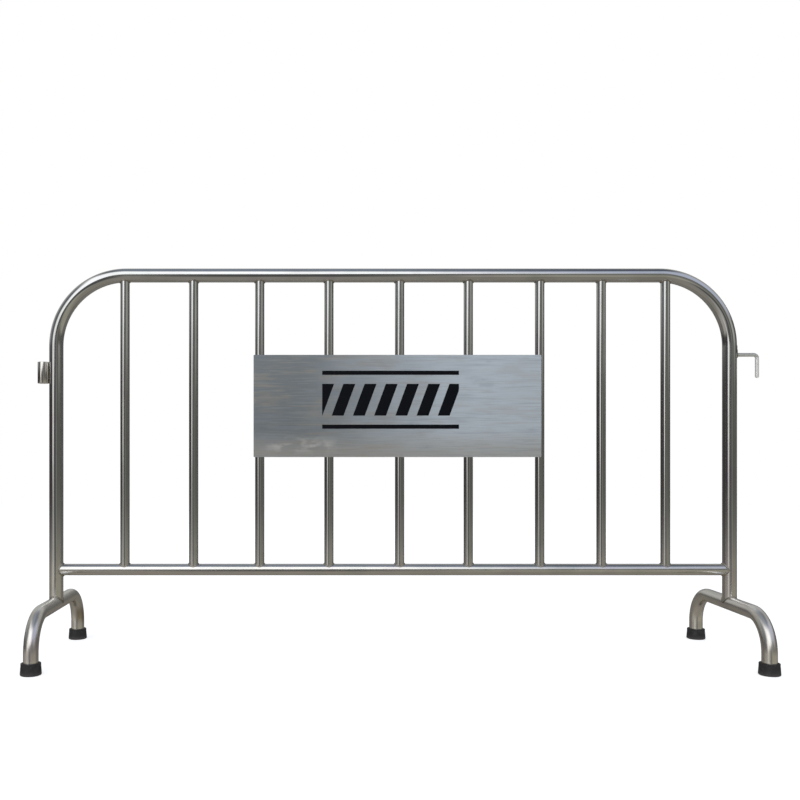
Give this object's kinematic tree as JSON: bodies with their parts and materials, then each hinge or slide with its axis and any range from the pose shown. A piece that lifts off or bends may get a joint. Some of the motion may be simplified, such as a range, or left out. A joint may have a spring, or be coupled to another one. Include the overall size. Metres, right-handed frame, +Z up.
{
  "type": "crowd control barrier",
  "caption": "Free-standing steel tube barrier with a round-cornered frame, upright bars, arch feet on rubber tips, a sign plate, and a hook and eye that link it to the next.",
  "frame": {"origin": "on the floor, halfway between the outermost points of the hook and the eye, in the panel's plane", "axes": "+X along the panel towards the hook, +Z up, and the sign plate faces -Y"},
  "size_m": [2.0994, 0.5266, 1.125],
  "materials": {
    "polished_tube": "polished stainless tube with fine lengthwise grain",
    "satin_tube": "satin stainless tube, slightly warm",
    "rod_steel": "plain bright rod",
    "brushed_sheet": "brushed stainless sheet with handling marks",
    "weld_bead": "rippled weld bead",
    "rubber": "matte moulded rubber",
    "black_print": "matte printed marking"
  },
  "bodies": {
    "root": {"frame_tube": "polished_tube", "bottom_rail": "polished_tube", "bar_1": "polished_tube", "bar_2": "polished_tube", "bar_3": "polished_tube", "bar_4": "polished_tube", "bar_5": "polished_tube", "bar_6": "polished_tube", "bar_7": "polished_tube", "bar_8": "polished_tube", "bar_9": "polished_tube", "foot_left": "satin_tube", "tip_front_left": "rubber", "tip_rear_left": "rubber", "foot_right": "satin_tube", "tip_front_right": "rubber", "tip_rear_right": "rubber", "hook": "rod_steel", "eye": "satin_tube", "sign_plate": "brushed_sheet", "sign_marking": "black_print", "bar_top_welds": "weld_bead", "bar_bottom_welds": "weld_bead", "rail_end_welds": "weld_bead", "foot_welds": "weld_bead", "hook_weld": "weld_bead", "eye_welds": "weld_bead", "plate_tack_welds": "weld_bead"}
  },
  "joints": []
}
